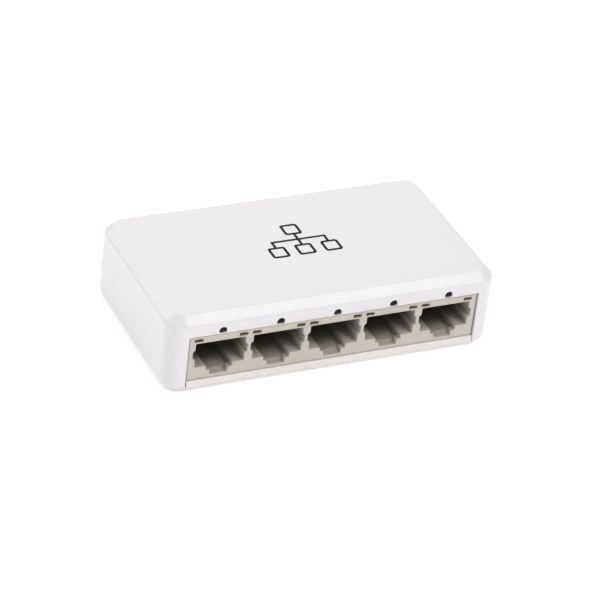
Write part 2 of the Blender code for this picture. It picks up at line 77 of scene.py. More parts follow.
# ---- light levels ----
HORIZON = 0.19           # strength of the dome at its rim
ZENITH = 0.76            # and overhead
BACKDROP = 0.95          # the plain pale background behind the floor
FLOOR_GLOW = 0.24
KEY_POWER = 3.1          # watts, as the three below
SIDE_POWER = 2.15
FILL_POWER = 1.0
BACK_POWER = 0.1
CONTRAST_GAMMA = 0.78    # below 1 it deepens the shadows

scene.view_settings.view_transform = "Standard"
scene.view_settings.gamma = CONTRAST_GAMMA

# ---- sizes of the casing ----
COVER_LOW, COVER_HIGH = node_box("top_cover")
BASE = COVER_LOW.z
TOP = COVER_HIGH.z
HALF_X = COVER_HIGH.x
HALF_Y = COVER_HIGH.y
FRONT = COVER_LOW.y
WALL = 1.6
CEILING = TOP - WALL
CORNER_R = 4.6
BAND = 2.15              # width and height of the sloped band round the top
PLATE = 1.2              # thickness of the floor plate
GAP = 0.2                # between the floor plate and the cover
WINDOW_HALF = 35.85
WINDOW_TOP = BASE + 14.0
SILL_TOP = BASE + 2.3
SCREW_X = 34.0
SCREW_Y = 2.0
FOOT_X = 32.5
FOOT_Y = 15.5
STUD_X = 36.0
STUD_Y = 13.0

# ---- sizes of the lamp holes ----
PORTS = 5
PITCH = 13.97
PORT_X = [(k - (PORTS - 1) / 2) * PITCH for k in range(PORTS)]
LED_R = 0.95
LED_FLAT = 0.6           # from the hole's centre down to its flat edge
LED_Z = BASE + 14.8
LAMP_WALL = 0.4          # the cover is thinner round each lamp hole
PEG_X = 1.5 * PITCH      # the two pegs that carry the light guide
PEG_Y = -4.4

# ---- sizes of the jacks ----
BLOCK_LOW, BLOCK_HIGH = node_box("port_block")
MOUTH_HALF = 5.95
MOUTH_TOP = BASE + 11.85
NOTCH_HALF = 6.55
NOTCH_LOW = BASE + 7.6
NOTCH_TOP = BASE + 10.2
LEDGE = BASE + 5.6
LATCH_HALF = 3.15
LATCH_LOW = BASE + 4.6
LATCH_FLOOR = BASE + 3.75
THUMB_HALF = 2.1
THUMB_TOP = BASE + 4.3
THUMB_FLOOR = BASE + 3.2
LIP = 1.65               # front wall of the block, in front of the latch channel
PLUG_DEPTH = 12.0
SLOT_OUT = 5.39          # from a jack's middle to each of its two mould slots
SLOT_Z = BASE + 12.7
SLOT_W = 2.1
SLOT_H = 0.82

# ---- tools ----
CLEAR = 1.0              # how far a cutter runs past the face that it cuts
HOLE_STEPS = 28          # sides of a plain round hole


# ---- materials ----
class Surface:
    """A node material built up step by step, patterned in object coordinates."""

    def __init__(self, name):
        self.mat = bpy.data.materials.new(name)
        self.mat.use_nodes = True
        self.tree = self.mat.node_tree
        self.shader = self.tree.nodes["Principled BSDF"]
        self.place = self.node("ShaderNodeTexCoord").outputs["Object"]

    def node(self, kind, **settings):
        made = self.tree.nodes.new(kind)
        for key, value in settings.items():
            setattr(made, key, value)
        return made

    def join(self, source, target):
        self.tree.links.new(source, target)

    def value(self, socket, number):
        self.shader.inputs[socket].default_value = number

    def noise(self, size_mm, detail=2.0, stretch=None):
        """Noise whose grains are about size_mm across."""
        place = self.place
        if stretch:
            mapping = self.node("ShaderNodeMapping")
            mapping.inputs["Scale"].default_value = stretch
            self.join(place, mapping.inputs["Vector"])
            place = mapping.outputs["Vector"]
        made = self.node("ShaderNodeTexNoise")
        made.inputs["Scale"].default_value = 1.0 / (size_mm * MM)
        made.inputs["Detail"].default_value = detail
        self.join(place, made.inputs["Vector"])
        return made.outputs["Fac"]

    def colour(self, factor, low, high, start=0.3, stop=0.7):
        """Base colour between low and high, following factor from start to stop."""
        ramp = self.node("ShaderNodeValToRGB")
        ramp.color_ramp.elements[0].position = start
        ramp.color_ramp.elements[1].position = stop
        ramp.color_ramp.elements[0].color = (*low, 1.0)
        ramp.color_ramp.elements[1].color = (*high, 1.0)
        self.join(factor, ramp.inputs["Fac"])
        self.join(ramp.outputs["Color"], self.shader.inputs["Base Color"])

    def roughness(self, factor, low, high):
        spread = self.node("ShaderNodeMapRange")
        spread.inputs["From Min"].default_value = 0.3
        spread.inputs["From Max"].default_value = 0.7
        spread.inputs["To Min"].default_value = low
        spread.inputs["To Max"].default_value = high
        self.join(factor, spread.inputs["Value"])
        self.join(spread.outputs["Result"], self.shader.inputs["Roughness"])

    def paint_shade_along_y(self, start_mm, stop_mm, least):
        """Painted shade: darkens the base colour with depth into the object, down to least times itself."""
        split = self.node("ShaderNodeSeparateXYZ")
        self.join(self.place, split.inputs["Vector"])
        share = self.node("ShaderNodeMapRange")
        share.inputs["From Min"].default_value = start_mm * MM
        share.inputs["From Max"].default_value = stop_mm * MM
        share.inputs["To Min"].default_value = 1.0
        share.inputs["To Max"].default_value = least
        self.join(split.outputs["Y"], share.inputs["Value"])
        scaled = self.node("ShaderNodeVectorMath", operation="SCALE")
        colour = self.shader.inputs["Base Color"]
        self.join(colour.links[0].from_socket, scaled.inputs[0])
        self.join(share.outputs["Result"], scaled.inputs["Scale"])
        self.join(scaled.outputs["Vector"], colour)

    def bump(self, height, depth_mm):
        made = self.node("ShaderNodeBump")
        made.inputs["Strength"].default_value = 1.0
        made.inputs["Distance"].default_value = depth_mm * MM
        self.join(height, made.inputs["Height"])
        self.join(made.outputs["Normal"], self.shader.inputs["Normal"])


def moulded(name, low, high, rough, grain_mm, depth_mm):
    """Injection-moulded plastic: faint flow mottling and a fine spark-eroded grain."""
    made = Surface(name)
    made.colour(made.noise(9.0, 3.0), low, high)
    made.roughness(made.noise(1.6, 3.0), rough - 0.03, rough + 0.03)
    made.bump(made.noise(grain_mm, 3.0), depth_mm)
    made.value("IOR", 1.46)
    return made


def metal(name, low, high, rough, grain_mm, stretch=None):
    """Bare or plated metal; stretch draws its grain out into streaks."""
    made = Surface(name)
    made.value("Metallic", 1.0)
    made.colour(made.noise(2.2, 4.0), low, high)
    streaks = made.noise(grain_mm, 3.0, stretch)
    made.roughness(streaks, rough - 0.07, rough + 0.07)
    made.bump(streaks, 0.004)
    return made


def make_acrylic():
    made = Surface("clear_acrylic")
    made.colour(made.noise(4.0), (0.90, 0.93, 0.93), (0.95, 0.97, 0.97))
    made.roughness(made.noise(1.0), 0.05, 0.12)
    made.bump(made.noise(0.6), 0.002)
    made.value("IOR", 1.49)
    made.value("Transmission Weight", 1.0)
    return made


def make_lens():
    made = Surface("lamp_resin")
    made.colour(made.noise(0.5), (0.72, 0.74, 0.60), (0.80, 0.82, 0.68))
    made.roughness(made.noise(0.3), 0.14, 0.24)
    made.bump(made.noise(0.2), 0.002)
    made.value("Transmission Weight", 0.35)
    return made


def make_solder_mask():
    """Green mask with the copper tracks under it standing slightly proud."""
    made = Surface("green_solder_mask")
    tracks = made.node("ShaderNodeTexBrick", offset=0.37, squash=1.6)
    tracks.inputs["Scale"].default_value = 260.0
    tracks.inputs["Mortar Size"].default_value = 0.09
    tracks.inputs["Color1"].default_value = (0, 0, 0, 1)
    tracks.inputs["Color2"].default_value = (0, 0, 0, 1)
    tracks.inputs["Mortar"].default_value = (1, 1, 1, 1)
    made.join(made.place, tracks.inputs["Vector"])
    made.colour(tracks.outputs["Color"], (0.012, 0.13, 0.055), (0.03, 0.23, 0.10), 0.2, 0.8)
    made.roughness(made.noise(1.0), 0.24, 0.36)
    made.bump(tracks.outputs["Color"], 0.02)
    return made


WHITE = moulded("white_plastic", (0.825, 0.805, 0.825), (0.84, 0.82, 0.84), 0.34, 0.22, 0.003)
SILL_WHITE = moulded("warm_white_plastic", (0.83, 0.80, 0.785), (0.85, 0.82, 0.805), 0.38, 0.22, 0.003)
CREAM = moulded("cream_plastic_painted_shade", (0.625, 0.592, 0.54), (0.655, 0.622, 0.57), 0.44, 0.2, 0.004)
# painted shade: the block's cream darkens from just behind its front face to 7 mm in, down to 0.42 of
# itself, standing in for the shade inside the jacks
CREAM.paint_shade_along_y(FRONT + 0.6, FRONT + 7.0, 0.42)
BLACK = moulded("black_plastic", (0.016, 0.016, 0.018), (0.026, 0.026, 0.028), 0.46, 0.2, 0.008)
EPOXY = moulded("chip_epoxy", (0.022, 0.022, 0.024), (0.036, 0.036, 0.038), 0.62, 0.12, 0.012)
RUBBER = moulded("grey_rubber", (0.055, 0.055, 0.058), (0.085, 0.085, 0.088), 0.86, 0.3, 0.02)
INK = moulded("black_ink", (0.012, 0.010, 0.012), (0.020, 0.017, 0.020), 0.5, 0.15, 0.002)
GOLD = metal("gold_plating", (0.80, 0.58, 0.24), (0.88, 0.67, 0.33), 0.24, 0.5, (1, 0.15, 1))
STEEL = metal("zinc_plated_steel", (0.58, 0.58, 0.56), (0.68, 0.68, 0.67), 0.32, 0.4)
CAN = metal("drawn_aluminium", (0.66, 0.67, 0.69), (0.76, 0.77, 0.79), 0.27, 0.3, (1, 1, 0.08))
ACRYLIC = make_acrylic()
LENS_RESIN = make_lens()
MASK = make_solder_mask()


# ---- outlines ----
def rounded(points, steps=5, closed=True):
    """A polyline of (a, b, radius) with each corner turned into an arc."""
    out = []
    count = len(points)
    for i, (x, y, radius) in enumerate(points):
        here = Vector((x, y))
        at_end = not closed and i in (0, count - 1)
        if radius <= 0 or at_end:
            out.append((x, y))
            continue
        back = (Vector(points[i - 1][:2]) - here).normalized()
        ahead = (Vector(points[(i + 1) % count][:2]) - here).normalized()
        half = back.angle(ahead) / 2
        reach = radius / math.tan(half)
        centre = here + (back + ahead).normalized() * radius / math.sin(half)
        first = here + back * reach - centre
        last = here + ahead * reach - centre
        sweep = math.pi - 2 * half
        for s in range(steps + 1):
            share = s / steps
            arm = first * math.sin((1 - share) * sweep) + last * math.sin(share * sweep)
            spot = centre + arm / math.sin(sweep)
            out.append((spot.x, spot.y))
    return out


def grown(points, amount, steps):
    """A closed anticlockwise outline of (a, b, radius) moved outwards by amount, then rounded."""
    out = []
    count = len(points)
    for i, (x, y, radius) in enumerate(points):
        here = Vector((x, y))
        before = (here - Vector(points[i - 1][:2])).normalized()
        after = (Vector(points[(i + 1) % count][:2]) - here).normalized()
        n1 = Vector((before.y, -before.x))
        n2 = Vector((after.y, -after.x))
        spot = here + (n1 + n2) / (1 + n1.dot(n2)) * amount
        turns_out = before.x * after.y - before.y * after.x > 0
        fillet = radius + amount if turns_out else radius - amount
        out.append((spot.x, spot.y, max(fillet, 0.02) if radius else 0))
    return rounded(out, steps)


def corners(half_a, half_b, radius, centre=(0, 0)):
    """A rectangle's corners, anticlockwise, as (a, b, radius)."""
    signs = ((1, -1), (1, 1), (-1, 1), (-1, -1))
    return [(centre[0] + s * half_a, centre[1] + t * half_b, radius) for s, t in signs]


def rectangle(half_a, half_b, radius, steps):
    return rounded(corners(half_a, half_b, radius), steps)


def circle(radius, steps, centre=(0, 0)):
    turn = [2 * math.pi * i / steps for i in range(steps)]
    return [(centre[0] + radius * math.cos(a), centre[1] + radius * math.sin(a)) for a in turn]


def d_shape(x, z, growth, steps=22):
    """A circle with its lowest part cut flat."""
    radius = LED_R + growth
    start = -math.asin((LED_FLAT + growth) / radius)
    stop = math.pi - start
    turn = [start + (stop - start) * i / steps for i in range(steps + 1)]
    return [(x + radius * math.cos(a), z + radius * math.sin(a)) for a in turn]


# ---- meshes ----
def add(name, mesh):
    obj = bpy.data.objects.new(name, mesh)
    scene.collection.objects.link(obj)
    return obj


def add_bmesh(name, bm):
    """A new object from bm, with its faces turned outwards."""
    bmesh.ops.recalc_face_normals(bm, faces=bm.faces[:])
    mesh = bpy.data.meshes.new(name)
    bm.to_mesh(mesh)
    bm.free()
    return add(name, mesh)


def vertex_rows(bm, rings):
    return [[bm.verts.new(Vector(p) * MM) for p in ring] for ring in rings]


def skin(bm, low, high):
    """Faces between two rows of vertices; a row of one vertex is the tip of a fan."""
    count = max(len(low), len(high))
    for i in range(count):
        j = (i + 1) % count
        if len(low) == 1:
            bm.faces.new((low[0], high[j], high[i]))
        elif len(high) == 1:
            bm.faces.new((low[i], low[j], high[0]))
        else:
            bm.faces.new((low[i], low[j], high[j], high[i]))


def loft(name, rings, loop=False):
    """Skin over rings of 3-D points, all with the same count; a loop has no end faces."""
    bm = bmesh.new()
    rows = vertex_rows(bm, rings)
    for low, high in zip(rows, rows[1:]):
        skin(bm, low, high)
    if loop:
        skin(bm, rows[-1], rows[0])
    else:
        bm.faces.new(rows[0][::-1])
        bm.faces.new(rows[-1])
    return add_bmesh(name, bm)


def lathe(name, profile, place=(0, 0, 0), along="Z", steps=48):
    """A solid of revolution from (radius, height) points that start and end on the axis."""
    bm = bmesh.new()
    rings = []
    for radius, height in profile:
        ring = circle(radius, steps) if radius else [(0, 0)]
        rings.append([(x, y, height) for x, y in ring])
    rows = vertex_rows(bm, rings)
    for low, high in zip(rows, rows[1:]):
        skin(bm, low, high)
    turn = Matrix.Rotation(math.radians(-90), 4, "X") if along == "Y" else Matrix.Identity(4)
    bmesh.ops.transform(bm, matrix=Matrix.Translation(Vector(place) * MM) @ turn, verts=bm.verts[:])
    return add_bmesh(name, bm)


def strip(name, x, path, width, thick, soft):
    """A bent strip: a soft-cornered section carried along a side-view path of (y, z) points."""
    section = rounded(corners(width / 2, thick / 2, soft), 2)
    rings = []
    for i, (y, z) in enumerate(path):
        before = Vector(path[max(i - 1, 0)])
        after = Vector(path[min(i + 1, len(path) - 1)])
        ahead = (after - before).normalized()
        rings.append([(x + a, y - ahead.y * b, z + ahead.x * b) for a, b in section])
    return loft(name, rings)


def stacked(outline, height, plane="XY"):
    """An outline as 3-D points at a height along the plane's third axis."""
    if plane == "XZ":
        return [(a, height, b) for a, b in outline]
    if plane == "YZ":
        return [(height, a, b) for a, b in outline]
    return [(a, b, height) for a, b in outline]


def prism(name, outline, low, high, plane="XY"):
    """An outline made solid between two heights along the plane's third axis."""
    return loft(name, [stacked(outline, height, plane) for height in (low, high)])


def soft_box(name, low, high, round_mm, steps=3):
    """A cuboid with rounded edges."""
    bm = bmesh.new()
    bmesh.ops.create_cube(bm, size=1.0)
    size = [(b - a) * MM for a, b in zip(low, high)]
    bmesh.ops.scale(bm, vec=size, verts=bm.verts[:])
    middle = Vector([(a + b) / 2 * MM for a, b in zip(low, high)])
    bmesh.ops.translate(bm, vec=middle, verts=bm.verts[:])
    if round_mm:
        bmesh.ops.bevel(bm, geom=bm.edges[:], offset=round_mm * MM, segments=steps, profile=0.5,
                        affect="EDGES")
    return add_bmesh(name, bm)


def flared(name, shape, face, depth, flare, inward=1, plane="XZ"):
    """A cutter for a hole with a rounded lip; shape(growth) gives its outline in the plane."""
    stations = [(depth, 0.0)]
    for angle in (0.0, 30.0, 60.0):
        a = math.radians(angle)
        stations.append((flare * (1 - math.sin(a)), flare * (1 - math.cos(a))))
    last_depth, last_grow = stations[-1]
    stations.append((-last_depth, 2 * flare - last_grow))
    stations.append((-CLEAR, 2 * flare - last_grow))
    return loft(name, [stacked(shape(growth), face + inward * into, plane) for into, growth in stations])


def apply_booleans(obj, cutters, unions=()):
    """Joins, then cuts, and keeps only the resulting mesh."""
    for operation, tools in (("UNION", unions), ("DIFFERENCE", cutters)):
        for tool in tools:
            mod = obj.modifiers.new(tool.name, "BOOLEAN")
            mod.operation = operation
            mod.solver = "EXACT"
            mod.object = tool
    result = bpy.data.meshes.new_from_object(obj.evaluated_get(bpy.context.evaluated_depsgraph_get()))
    obj.modifiers.clear()
    obj.data = result
    for tool in list(cutters) + list(unions):
        bpy.data.objects.remove(tool, do_unlink=True)


def joined(name, objects):
    """Several meshes as one object."""
    bm = bmesh.new()
    for obj in objects:
        bm.from_mesh(obj.data)
    mesh = bpy.data.meshes.new(name)
    bm.to_mesh(mesh)
    bm.free()
    for obj in objects:
        bpy.data.objects.remove(obj, do_unlink=True)
    return add(name, mesh)


def dress(obj, surface, body="switch", nodes=(), angle=38.0):
    """Material, shading, the body it rides on and the CAD nodes it stands for."""
    obj.data.materials.clear()
    obj.data.materials.append(surface.mat)
    obj.data.shade_smooth()
    obj.data.set_sharp_from_angle(angle=math.radians(angle))
    even = obj.modifiers.new("even_normals", "WEIGHTED_NORMAL")
    even.keep_sharp = True
    even.weight = 80
    if nodes:
        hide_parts(*nodes)
    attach(obj, body)


# ---- casing ----
def case_rings(profile):
    """Rings of a rounded box from (inset, height) points; the corner shrinks with the inset."""
    rings = []
    for inset, height in profile:
        ring = rectangle(HALF_X - inset, HALF_Y - inset, max(CORNER_R - inset, 0.5), 12)
        rings.append(stacked(ring, height))
    return rings


def cover_body():
    """The cover before it is cut: an outer and an inner skin that meet at the bottom rim."""
    outer = rounded([(1.35, BASE, 0), (0, BASE, 1.3), (0, TOP - BAND, 1.1), (BAND, TOP, 0.5),
                     (BAND + 4, TOP, 0)], 6, closed=False)
    inner = rounded([(WALL + 5, CEILING, 0), (WALL, CEILING, 1.6), (WALL, BASE, 0)], 5, closed=False)
    bm = bmesh.new()
    outside = vertex_rows(bm, case_rings(outer))
    inside = vertex_rows(bm, case_rings(inner))
    for rows in (outside, inside):
        for low, high in zip(rows, rows[1:]):
            skin(bm, low, high)
    bm.faces.new(outside[-1])
    bm.faces.new(inside[0][::-1])
    skin(bm, inside[-1], outside[0])
    return add_bmesh("cover_shell", bm)


def jack_axis():
    """Place of the power inlet's axis in X and Z."""
    low, high = node_box("power_jack")
    return (low.x + high.x) / 2, BASE + 9.0


def make_cover():
    """The shell with its jack window, lamp holes, inlet hole, screw posts and pegs."""
    inner_face = FRONT + WALL + CLEAR
    below = BASE - 3
    window = [(WINDOW_HALF, below, 0), (WINDOW_HALF, WINDOW_TOP, 0.2),
              (-WINDOW_HALF, WINDOW_TOP, 0.2), (-WINDOW_HALF, below, 0)]
    cutters = [flared("window_cut", lambda g: grown(window, g, 4), FRONT, WALL + 0.4, 0.2)]

    seat_half = 1.3          # pockets behind the lamp holes, which thin the wall
    seat_low = LED_Z - LED_FLAT - 0.1
    seat_high = LED_Z + 1.25
    for k, x in enumerate(PORT_X):
        cutters.append(flared(f"lamp_hole_{k}", lambda g, x=x: d_shape(x, LED_Z, g), FRONT,
                              WALL + CLEAR, 0.05))
        cutters.append(soft_box(f"lamp_seat_{k}", (x - seat_half, FRONT + LAMP_WALL, seat_low),
                                (x + seat_half, inner_face, seat_high), 0.2, 2))

    inlet_r = 4.0
    cutters.append(flared("inlet_cut", lambda g: circle(inlet_r + g, 48, jack_axis()), HALF_Y,
                          WALL + CLEAR, 0.25, -1))

    post_r = 2.7
    post_low = BASE + 3.0
    post_length = CEILING - BASE - 2.6
    pilot_r = 1.3
    pilot_low = BASE + 2
    pilot_high = BASE + 11
    peg_r = 0.8
    peg_low = CEILING - 2.9
    peg_length = 3.4
    post = [(0, 0), (post_r - 0.2, 0), (post_r, 0.2), (post_r, post_length), (0, post_length)]
    peg = [(0, 0), (peg_r - 0.25, 0), (peg_r, 0.3), (peg_r, peg_length), (0, peg_length)]
    unions = []
    for side in (-1, 1):
        unions.append(lathe(f"screw_post_{side}", post, (side * SCREW_X, SCREW_Y, post_low)))
        unions.append(lathe(f"pipe_peg_{side}", peg, (side * PEG_X, PEG_Y, peg_low)))
        pilot = circle(pilot_r, HOLE_STEPS, (side * SCREW_X, SCREW_Y))
        cutters.append(prism(f"screw_pilot_{side}", pilot, pilot_low, pilot_high))

    cover = cover_body()
    apply_booleans(cover, cutters, unions)
    dress(cover, WHITE, nodes=["top_cover"], angle=34)


def make_print():
    """A generic network symbol printed on the top: four boxes joined by lines."""
    stroke = 0.62
    low = TOP - 0.02
    high = TOP + 0.03
    centre = Vector((0.6, 2.2))
    half_box = 2.15
    level = 4.3
    spread = 6.6

    def bar(name, x0, y0, x1, y1):
        a = centre + Vector((x0, y0))
        b = centre + Vector((x1, y1))
        return soft_box(name, (a.x, a.y, low), (b.x, b.y, high), 0)

    def frame_box(name, x, y):
        middle = centre + Vector((x, y))
        inner = half_box - stroke
        ring_out = [(middle.x + a, middle.y + b) for a, b in rectangle(half_box, half_box, 0.7, 5)]
        ring_in = [(middle.x + a, middle.y + b) for a, b in rectangle(inner, inner, 0.3, 5)]
        rings = [stacked(ring_in, low), stacked(ring_out, low), stacked(ring_out, high),
                 stacked(ring_in, high)]
        return loft(name, rings, loop=True)

    top = frame_box("print_top", 0, level)
    s = stroke / 2
    edge = level - half_box + s
    bits = [
        frame_box("print_left", -spread, -level),
        frame_box("print_mid", 0, -level),
        frame_box("print_right", spread, -level),
        bar("print_trunk", -s, -edge, s, edge),
        bar("print_bus", -spread - s, -s, spread + s, s),
        bar("print_drop_left", -spread - s, -edge, -spread + s, 0),
        bar("print_drop_right", spread - s, -edge, spread + s, 0),
    ]
    apply_booleans(top, [], bits)
    top.name = "printed_symbol"
    dress(top, INK, angle=30)


def floor_plate():
    """The plain base plate inside the cover."""
    inset = WALL + GAP
    profile = rounded([(0.4, BASE, 0), (0, BASE, 0.3), (0, BASE + PLATE, 0.2), (0.4, BASE + PLATE, 0)], 3,
                      closed=False)
    rings = []
    for shrink, height in profile:
        ring = rectangle(HALF_X - inset - shrink, HALF_Y - inset - shrink, CORNER_R - inset - shrink, 10)
        rings.append(stacked(ring, height))
    return loft("floor_shell", rings)


def sill_parts():
    """The sill that fills the window's bottom, and the apron that ties it to the plate."""
    half = WINDOW_HALF - GAP
    tuck = 0.02
    section = rounded([(FRONT, BASE, 1.2), (FRONT + WALL, BASE, 0), (FRONT + WALL, SILL_TOP, 0.2),
                       (FRONT, SILL_TOP, 0.4)], 6)
    sill = prism("sill", section, -half, half, "YZ")
    apron = soft_box("apron", (-half + tuck, FRONT + 1.3, BASE + tuck),
                     (half - tuck, FRONT + 5, BASE + PLATE - tuck), 0)
    return [sill, apron]


def make_floor_cover():
    """The plate with its sill, screw wells, foot seats, air slots, screw seats and board studs."""
    well_r = 2.5
    well_depth = 1.5
    foot_seat_r = 3.4
    foot_seat_depth = 0.6
    vents = 7
    vent_pitch = 3.2
    vent_x = 14.0
    vent_y = 8.0
    vent_half_width = 0.8
    vent_half_length = 5.0
    vent_depth = 2.5
    seat_r = 3.2
    stud_r = 1.0
    hole_r = 1.45
    screw_seat = [(0, 0.6), (seat_r, 0.6), (seat_r, 2.6), (seat_r - 0.1, 2.7), (0, 2.7)]
    stud = [(0, 0.4), (stud_r, 0.4), (stud_r, 3.7), (stud_r - 0.3, 4.0), (0, 4.0)]

    cutters = []
    unions = sill_parts()
    for side in (-1, 1):
        spot = (side * SCREW_X, SCREW_Y)
        cutters.append(flared(f"screw_well_{side}", lambda g, c=spot: circle(well_r + g, 40, c),
                              BASE, well_depth, 0.2, 1, "XY"))
        for end in (-1, 1):
            spot = (side * FOOT_X, end * FOOT_Y)
            cutters.append(flared(f"foot_seat_{side}_{end}",
                                  lambda g, c=spot: circle(foot_seat_r + g, 40, c),
                                  BASE, foot_seat_depth, 0.15, 1, "XY"))
        for i in range(vents):
            x = side * vent_x + (i - (vents - 1) / 2) * vent_pitch
            slot = corners(vent_half_width, vent_half_length, 0.79, (x, vent_y))
            cutters.append(flared(f"vent_{side}_{i}", lambda g, c=slot: grown(c, g, 6),
                                  BASE, vent_depth, 0.2, 1, "XY"))
    for side in (-1, 1):
        unions.append(lathe(f"screw_seat_{side}", screw_seat, (side * SCREW_X, SCREW_Y, BASE)))
        unions.append(lathe(f"board_stud_{side}", stud, (side * STUD_X, STUD_Y, BASE)))
        hole = circle(hole_r, HOLE_STEPS, (side * SCREW_X, SCREW_Y))
        cutters.append(prism(f"screw_hole_{side}", hole, BASE - CLEAR, BASE + 5))

    plate = floor_plate()
    apply_booleans(plate, cutters, unions)
    dress(plate, SILL_WHITE, nodes=["bottom_cover"], angle=34)


# ---- jack block ----
def mirrored(right):
    """A symmetric outline of (a, b, radius) from its right half, listed upwards."""
    return right + [(-a, b, r) for a, b, r in reversed(right)]


def mouth_front(x):
    """The opening in the block's front wall, anticlockwise seen from the front."""
    r = 0.2
    outline = mirrored([
        (THUMB_HALF, THUMB_FLOOR, r), (THUMB_HALF, THUMB_TOP, r), (LATCH_HALF, LATCH_LOW, r),
        (LATCH_HALF, LEDGE, r), (MOUTH_HALF, LEDGE, r), (MOUTH_HALF, NOTCH_LOW, r),
        (NOTCH_HALF, NOTCH_LOW + 0.3, r), (NOTCH_HALF, NOTCH_TOP - 0.45, r),
        (MOUTH_HALF + 0.05, NOTCH_TOP, r), (MOUTH_HALF + 0.05, MOUTH_TOP, r),
    ])
    return [(x + a, b, c) for a, b, c in outline]


def deep_ring(x, y):
    """A section of the space behind the front wall: a ledge on both sides of the latch channel."""
    wide = 0.05
    r = 0.12
    outline = mirrored([
        (LATCH_HALF + wide, LATCH_FLOOR, r), (LATCH_HALF + wide, LEDGE - wide, 0.22),
        (MOUTH_HALF + wide, LEDGE - wide, r), (MOUTH_HALF + wide, NOTCH_LOW - wide, r),
        (NOTCH_HALF + wide, NOTCH_LOW + 0.25, r), (NOTCH_HALF + wide, NOTCH_TOP - 0.4, r),
        (MOUTH_HALF + 2 * wide, NOTCH_TOP + wide, r), (MOUTH_HALF + 2 * wide, MOUTH_TOP + wide, r),
    ])
    return [(x + a, y, b) for a, b in rounded(outline, 3)]


def jack_cutters(k, x):
    """Everything that is hollow in one jack: mouth, plug space, contact pocket and rear opening."""
    face = BLOCK_LOW.y
    behind = BLOCK_HIGH.y + CLEAR
    pocket_half = 5.9
    pocket_front = face + 2.2
    pocket_low = MOUTH_TOP - 0.4
    pocket_high = BASE + 13.05
    rear_half = 5.85
    rear_front = face + PLUG_DEPTH - 0.2
    rear_low = BLOCK_LOW.z + 0.8
    opening = mouth_front(x)
    mouth = flared(f"mouth_{k}", lambda g: grown(opening, g, 4), face, LIP, 0.26)
    deep = loft(f"deep_{k}", [deep_ring(x, face + into) for into in (LIP - 0.04, PLUG_DEPTH)])
    pocket = soft_box(f"pocket_{k}", (x - pocket_half, pocket_front, pocket_low),
                      (x + pocket_half, behind, pocket_high), 0)
    rear = soft_box(f"rear_{k}", (x - rear_half, rear_front, rear_low),
                    (x + rear_half, behind, MOUTH_TOP), 0)
    return [mouth, deep, pocket, rear]


def slot_cutters(name, x):
    """A mould slot above a jack, and the wider cell behind its thin lip."""
    face = BLOCK_LOW.y
    slot_depth = 0.6
    cell_half = 0.9
    cell_front = face + 0.18
    cell_back = face + 2.7
    cell_low = SLOT_Z - 0.62
    cell_high = SLOT_Z + SLOT_H / 2 - 0.12
    slot = corners(SLOT_W / 2, SLOT_H / 2, 0.1, (x, SLOT_Z))
    front = flared(f"mould_slot_{name}", lambda g: grown(slot, g, 2), face, slot_depth, 0.08)
    cell = soft_box(f"slot_cell_{name}", (x - cell_half, cell_front, cell_low),
                    (x + cell_half, cell_back, cell_high), 0)
    return [front, cell]


def make_block():
    """The ganged jack block with five mouths, and a skirt down to the sill."""
    low, high = BLOCK_LOW, BLOCK_HIGH
    cutters = []
    for k, x in enumerate(PORT_X):
        cutters += jack_cutters(k, x)
        for side in (-1, 1):
            cutters += slot_cutters(f"{k}_{side}", x + side * SLOT_OUT)
    skirt = soft_box("skirt", (low.x + 0.1, low.y + 0.06, SILL_TOP + 0.15),
                     (high.x - 0.1, low.y + 1.35, low.z + 0.6), 0)
    block = soft_box("jack_block", tuple(low), tuple(high), 0.2, 3)
    apply_booleans(block, cutters, [skirt])
    dress(block, CREAM, nodes=["port_block"], angle=34)


# ---- light pipe ----
def make_light_pipe():
    """One clear moulding: a bar, a leg over each indicator and a finger with a D-shaped nose."""
    low, high = node_box("light_pipe")
    bar_front = -5.6
    bar_low = BASE + 14.15
    finger_half = 0.75
    finger_front = FRONT + WALL + 0.2
    finger_low = BASE + 14.2
    leg_y = -4.65
    leg_rings = ((low.z, 0.62), (BASE + 14.6, 0.74))
    nose_rings = ((FRONT + 0.25, -0.22), (FRONT + 0.36, -0.1), (FRONT + WALL + 0.5, -0.1))
    peg_hole_r = 0.95

    unions = []
    for k, x in enumerate(PORT_X):
        unions.append(soft_box(f"guide_finger_{k}", (x - finger_half, finger_front, finger_low),
                               (x + finger_half, bar_front + 0.5, high.z - 0.05), 0.18, 3))
        nose = [stacked(d_shape(x, LED_Z, growth), y, "XZ") for y, growth in nose_rings]
        unions.append(loft(f"guide_nose_{k}", nose))
        leg = [stacked(rounded(corners(half, half, 0.15, (x, leg_y)), 3), z) for z, half in leg_rings]
        unions.append(loft(f"guide_leg_{k}", leg))
    cutters = []
    for side in (-1, 1):
        hole = circle(peg_hole_r, HOLE_STEPS, (side * PEG_X, PEG_Y))
        cutters.append(prism(f"guide_hole_{side}", hole, BASE + 12, BASE + 18))
    pipe = soft_box("light_guide", (low.x, bar_front, bar_low), tuple(high), 0.25, 3)
    apply_booleans(pipe, cutters, unions)
    dress(pipe, ACRYLIC, nodes=["light_pipe"], angle=30)


